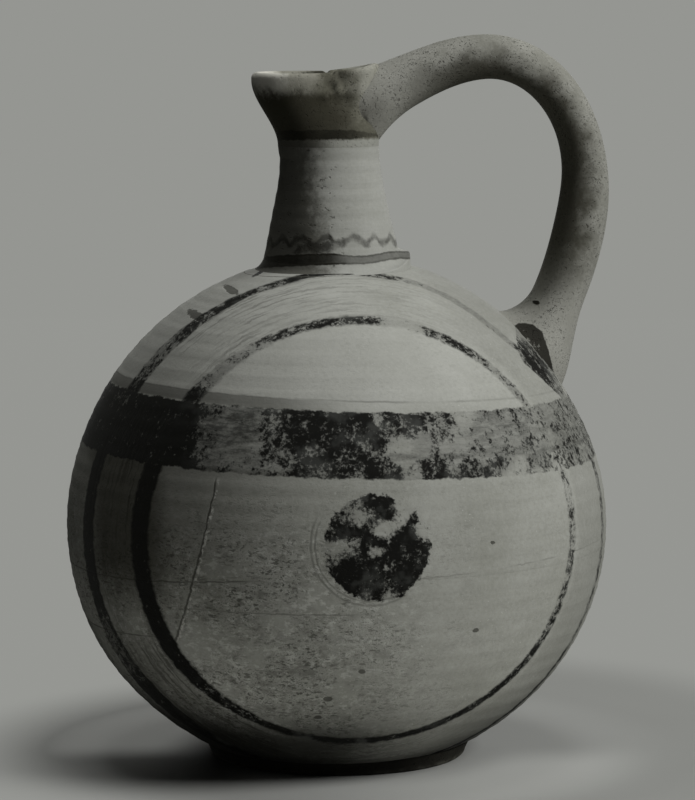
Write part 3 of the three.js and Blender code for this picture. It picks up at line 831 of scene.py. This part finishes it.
clay, pits, grain = bare_clay("mouth_clay", seen(92, 91, 78), seen(142, 141, 128), seen(38, 37, 28))
frayed = clay.noise(2.6, 4, 0.65) - 0.5
blotchy = clay.noise(5, 6, 0.7)
ragged_x = clay.x + (blotchy - 0.5) * 12
ragged_z = clay.z + (blotchy - 0.5) * 9
pale_back = ragged_x.rise(0, 10) * (ragged_x.rise(15, 8) * 0.4 + 0.3)
clay.coat(pale_back * ragged_z.rise(222, 230), seen(168, 168, 158))
# Painted shade under the flaring rim on the spout side, with darker patches at the pinch and at the back.
shade_below_rim = ragged_z.rise(232, 226) * ragged_x.rise(13, -3)
at_pinch = stroke(ragged_x + 3, 4, 5) * ragged_z.rise(222, 228)
at_back = ragged_z.rise(229, 225) * ragged_x.rise(0, 9)
clay.coat((shade_below_rim * 0.92).most(at_pinch * 0.7).most(at_back * 0.4), seen(44, 42, 32))
lit_rim = ragged_x.rise(-6, -12) * ragged_z.rise(225, 232)
at_tip = ragged_x.rise(-17, -23)
clay.coat(lit_rim * (at_tip * 0.3 + 0.6), seen(158, 157, 146))
clay.coat(lit_rim * at_tip * 0.8, seen(214, 213, 202))
below_band = (212 - clay.z + frayed * 1.5).rise(-0.6, 0.6)
# Painted shade: under the band the spout side is as dark as the neck's slip there.
slipped = clay.mix(ragged_x.rise(-2, -11) * 0.76, seen(154, 155, 147), seen(56, 54, 44))
clay.coat(below_band * 0.9, slipped)
taper = clay.x.rise(12, 2)
band_height = clay.z - clay.y.size() * 0.07 - 212.6 - frayed * 2
mouth_band = stroke(band_height, taper * 1.2 + 0.4, 0.3)
band_paint = clay.noise(5, 5, 0.7).rise(0.3, 0.6) * 0.35 + taper * 0.25 + 0.35
paint = mouth_band * band_paint
clay.coat(paint, seen(32, 31, 24))
relief = grain * 0.1 - pits * 0.25 + paint * 0.04
pinched_mouth.data.materials.append(clay.fire(grain * 0.14 + 0.84, relief))
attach(pinched_mouth, "root")
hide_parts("pinched_mouth")


# Handle
# A thick rolled coil of clay, bent up from the back of the mouth and down to the shoulder, where it was
# pressed on with a wide flare. A drop of paint marks each side of its root.

handle_thickness = 16.6 * mm
handle_width = 18 * mm
handle_rise = 13 * mm
handle_reach = 94 * mm
crest_out = 51 * mm
bend_drop = 52 * mm
seat_drop = 13.5 * mm
root_angle = math.radians(42)
buried_end = 7 * mm
rim_height = neck_top_height + mouth_height
half = handle_thickness / 2
start = np.array([neck_top_x + back_reach - buried_end, rim_height - seat_drop])
crest = np.array([crest_out, rim_height + handle_rise - half])
bend = np.array([handle_reach - half, crest[1] - bend_drop + half])
root = np.array([
    (belly_radius - buried_end) * math.cos(root_angle),
    belly_height + (crown_rise - buried_end) * math.sin(root_angle),
])
rise = crest[1] - start[1]
fall = bend[1] - root[1]
stretches = (
    (start, start + rise * np.array([0.72, 0.54]), crest - rise * np.array([0.8, 0]), crest),
    (crest, crest + 0.55 * (bend - crest) * [1, 0], bend + 0.55 * (crest - bend) * [0, 1], bend),
    (bend, bend - fall * np.array([0, 0.34]), root + [0.48, 0.12] * (bend - root), root),
)


def bezier(ends, share):
    """Points of a cubic curve: each end and pull weighed by the usual powers of the share and its rest."""
    rest = 1 - share
    weights = np.stack([rest**3, 3 * rest**2 * share, 3 * rest * share**2, share**3], axis=-1)
    return weights @ np.array(ends)


buried_run = 5 * mm
buried_start = 3.5 * mm
curve_points = 400
into_wall = root + buried_run * (root - stretches[2][2]) / np.linalg.norm(root - stretches[2][2])
into_mouth = start - buried_start * (stretches[0][1] - start) / np.linalg.norm(stretches[0][1] - start)
curve = [bezier(ends, np.linspace(0, 1, curve_points)) for ends in stretches]
fine = np.concatenate([into_mouth[None], *curve, into_wall[None]])
steps = np.linalg.norm(np.diff(fine, axis=0), axis=1)
travelled = np.concatenate([[0], np.cumsum(steps)])
length = travelled[-1]
inner_bend = travelled[curve_points * 3 // 2]
along = np.linspace(0, length, 236)
path = np.stack([np.interp(along, travelled, fine[:, axis]) for axis in range(2)], axis=-1)
ahead = np.gradient(path, along, axis=0)
ahead = ahead / np.linalg.norm(ahead, axis=1, keepdims=True)


def fade(distance, reach):
    """1 at no distance, falling by a square to 0 at the reach."""
    return np.clip(1 - distance / reach, 0, 1) ** 2


coil_round = np.linspace(0, 2 * np.pi, 112, endpoint=False)[None, :]
run = along[:, None]
to_root = length - buried_run - run
inner_side = np.clip(np.cos(coil_round), 0, 1)
outer_side = np.clip(-np.cos(coil_round), 0, 1)
plain = half + 1.6 * mm * np.clip(1 - to_root / (70 * mm), 0, 1)
seat = mm * (4 * inner_side * fade(run, 21 * mm) + 6.5 * outer_side * fade(run, 33 * mm))
flare = mm * (14 * inner_side * fade(to_root, 24.5 * mm) + 10 * outer_side * fade(to_root, 27 * mm))
thinned = 2.4 * mm * inner_side * hill(run, inner_bend, 30 * mm)
side_flare = 8 * mm * fade(to_root, 27 * mm) + 2.6 * mm * fade(run, 30 * mm)
rolled = mm * (0.22 * np.sin(run / (9 * mm)) + 0.16 * np.sin(2 * coil_round + run / (14 * mm)))
not_end = (run > 0) & (run < length)
across = (plain + seat + flare + rolled - thinned) * not_end * np.cos(coil_round)
sideways = (plain + side_flare + rolled) * not_end * np.sin(coil_round) * handle_width / handle_thickness
coil = np.stack(
    [path[:, :1] + across * ahead[:, 1:], sideways, path[:, 1:] - across * ahead[:, :1]], axis=-1
)


def held_in_globe(points, depth):
    """Keeps points that lie deeper than a depth in the globe on a smaller globe of that depth."""
    offset = points - [0, 0, belly_height]
    half_axis = np.where(offset[..., 2] < 0, keel_drop, crown_rise)
    half_axes = np.stack([belly_radius + 0 * half_axis] * 2 + [half_axis], axis=-1)
    size = np.linalg.norm(offset / half_axes, axis=-1)
    least = 1 - depth / belly_radius
    return [0, 0, belly_height] + offset * np.maximum(1, least / np.maximum(size, 1e-6))[..., None]


def held_in_mouth(points, depth):
    """Keeps points that lie deeper than a depth in the mouth's wall on that depth, along the radius."""
    mouth_zone = 24 * mm
    offset_x = points[..., 0] - neck_top_x
    around = np.arctan2(points[..., 1], -offset_x)
    climb = points[..., 2] - neck_top_height
    opened = smooth_step(climb, 0, flare_height)
    wall = neck_top_radius + opened * (rim_radius(around) - neck_top_radius) - depth
    grown = np.maximum(1, wall / np.maximum(np.hypot(offset_x, points[..., 1]), 1e-6))
    at_mouth = (points[..., 0] < mouth_zone)[..., None]
    moved = np.stack([neck_top_x + offset_x * grown, points[..., 1] * grown, points[..., 2]], axis=-1)
    return np.where(at_mouth, moved, points)


depth_in_globe = 3 * mm
depth_in_mouth = 2 * mm
coil = held_in_mouth(held_in_globe(coil, depth_in_globe), depth_in_mouth)
handle = fired_piece("handle", coil, poles=True)
inward_on_loop = np.cos(coil_round) + 0 * run
inward_on_loop = np.concatenate([inward_on_loop[0, :1], inward_on_loop[1:-1].ravel(), inward_on_loop[-1, :1]])
handle.data.attributes.new("inward_on_loop", "FLOAT", "POINT").data.foreach_set("value", inward_on_loop)

clay, pits, grain = bare_clay("handle_clay", seen(122, 122, 113), seen(160, 160, 152), seen(48, 47, 38))
x, z = clay.x, clay.z
ends = z.rise(172, 150).most(x.rise(44, 16))
clay.coat(ends * 0.32, seen(176, 176, 168))
frayed = clay.noise(2.6, 4, 0.65) - 0.5
# Soil and painted shade: the inside of the loop is darkened, high up and most toward the back of the handle.
high_on_handle = z.rise(150, 178)
blotchy = clay.noise(10, 5, 0.65)
soil_and_shade_inside = (clay.attribute("inward_on_loop") + (blotchy - 0.5) * 2.8).rise(-0.75, 0.55) * high_on_handle
soil_and_shade_inside = soil_and_shade_inside * (x.rise(12, 44) * 0.9 + 0.1)
clay.coat(soil_and_shade_inside * 0.84, seen(52, 50, 39))
lap_x = x + (blotchy - 0.5) * 12
lap_z = z + (blotchy - 0.5) * 9
on_mouth = lap_x.rise(19, 6) * lap_z.rise(231, 221)
clay.coat(on_mouth * 0.62, seen(44, 42, 32))
drop = root_drop(clay, frayed)
flakes = (clay.noise(3.5, 5, 0.7) - 0.5) * 2.4 + 0.5
spot_x = x - 67.9
spot_z = z - 155.3
spot = (1.1 - (spot_x * spot_x + spot_z * spot_z * 2.5).math("SQRT") + frayed * 0.8).rise(-0.1, 0.2)
seam_x = x - 12 + (z - 210) * 0.45
seam = stroke(seam_x + frayed * 2.4, 0.7, 0.6) * z.rise(222, 218)
paint = (drop * (flakes.rise(0.05, 0.3) * 0.75 + 0.2)).most(spot).most(seam * 0.75)
clay.coat(paint, seen(32, 31, 25))
relief = grain * 0.09 - pits * 0.28 + paint * 0.04
handle.data.materials.append(clay.fire(grain * 0.14 + 0.84, relief))
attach(handle, "root")
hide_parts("handle")


# Floor
# A wide flat sheet of pale matt paper, open on all sides. Near the jug it is lit and keeps the shadow, but
# two patches beside it glow faintly to the lens as painted light that lifts the shadow there; farther out it
# shows the even tone of the room. A white card in front only counts as light thrown back at the jug.

sheet_reach = 4.0
corners = sheet_reach * np.array([(-1, -1, 0), (1, -1, 0), (1, 1, 0), (-1, 1, 0)])
mesh = bpy.data.meshes.new("paper_sheet")
mesh.from_pydata(corners.tolist(), [], [(0, 1, 2, 3)])
paper_sheet = placed("paper_sheet", mesh)


def seen_directly(tree):
    """1 for rays from the lens, also by way of a mirror or glass, and 0 for light that is thrown about."""
    rays = tree.nodes.new("ShaderNodeLightPath")
    direct = Field(rays.outputs["Is Camera Ray"])
    for way in ("Is Glossy Ray", "Is Transmission Ray"):
        direct = direct.most(Field(rays.outputs[way]))
    return direct


room_tone = seen(149, 150, 146)
paper = Finish("pale_paper")
x, y = paper.x, paper.y
direct = seen_directly(paper.tree)
fibre = paper.noise(60, 4, 0.6)
from_jug = (x * x + y * y).math("SQRT")
to_spout = x.rise(50, -50)
far_out = (from_jug + to_spout * 55).rise(147, 203)
floor_colour = paper.mix(fibre, seen(164, 165, 161), seen(170, 171, 167))
outward = from_jug.rise(85, 125) * (1 - to_spout)
floor_colour = paper.mix(outward, floor_colour, seen(148, 149, 145))
card_colour = paper.mix(y.rise(-130, -200), seen(218, 218, 214), seen(190, 190, 187))
white_card = y.rise(-45, -60) * x.size().rise(260, 170)
thrown_back = paper.mix(white_card, seen(12, 12, 12), card_colour)
shown = paper.mix(far_out, floor_colour, seen(2, 2, 2))
paper.colour = paper.mix(direct, thrown_back, shown)
paper_sheet.data.materials.append(paper.fire(fibre * 0.05 + 0.93, fibre * 0.05, sheen=0))
# Painted light: patches behind the spout and in front of the handle glow faintly to the lens.
near_jug = from_jug.rise(42, 66) * from_jug.rise(115, 80)
behind_spout = near_jug * to_spout * y.rise(-10, 20)
before_handle = near_jug * (1 - to_spout) * y.rise(-5, -40)
lifted = (behind_spout + before_handle) * 0.3
room_tone_and_painted_light = far_out.most(lifted) * direct
paper.shader.inputs["Emission Color"].default_value = room_tone
paper.tree.links.new(room_tone_and_painted_light.socket, paper.shader.inputs["Emission Strength"])


# Light and camera
# One soft lamp on the handle side, a weak one straight behind for the back, a wide panel overhead, and a room
# that lights the jug only dimly and shows one even pale tone, as in a plain studio.


def area_lamp(name, shape, size, watts):
    """A flat lamp of a shape and a size in metres."""
    light = bpy.data.lights.new(name, "AREA")
    light.shape = shape
    light.size = size
    light.energy = watts
    return placed(name, light)


def soft_lamp(name, turn, lift, size, watts):
    """A round lamp that faces the jug, turned from the front toward the handle and lifted, in degrees."""
    distance = 1.5
    jug_middle = 0.11
    turn, lift = math.radians(turn), math.radians(lift)
    lamp = area_lamp(name, "DISK", size, watts)
    lamp.location = (
        distance * math.sin(turn) * math.cos(lift),
        -distance * math.cos(turn) * math.cos(lift),
        jug_middle + distance * math.sin(lift),
    )
    lamp.rotation_euler = (math.pi / 2 - lift, 0, turn)
    lamp.visible_camera = False


soft_lamp("handle_side_lamp", 57, 32, 0.6, 16.4)
soft_lamp("back_lamp", 171, 9, 0.9, 7.0)

overhead_panel = area_lamp("overhead_panel", "SQUARE", 0.8, 8.3)
overhead_panel.location = (0.0, 0.1, 1.6)

room = bpy.data.worlds.new("studio_room")
room.use_nodes = True
nodes, links = room.node_tree.nodes, room.node_tree.links
dim_light = nodes["Background"]
dim_light.inputs["Color"].default_value = (1, 1, 1, 1)
dim_light.inputs["Strength"].default_value = 0.006
even_tone = nodes.new("ShaderNodeBackground")
even_tone.inputs["Color"].default_value = room_tone
either = nodes.new("ShaderNodeMixShader")
links.new(seen_directly(room.node_tree).socket, either.inputs[0])
links.new(dim_light.outputs[0], either.inputs[1])
links.new(even_tone.outputs[0], either.inputs[2])
links.new(either.outputs[0], nodes["World Output"].inputs["Surface"])
bpy.context.scene.world = room

photo_height = 800
focal_pixels = 3667
lens = bpy.data.cameras.new("camera")
lens.sensor_fit = "VERTICAL"
lens.sensor_height = 36
lens.lens = focal_pixels / photo_height * lens.sensor_height
camera = placed("camera", lens)
camera.location = (-0.18476, -1.23627, 0.272)
camera.rotation_euler = (math.radians(90 - 6.8425), 0, math.radians(-8.6533))
bpy.context.scene.camera = camera
bpy.context.scene.view_settings.view_transform = "Standard"
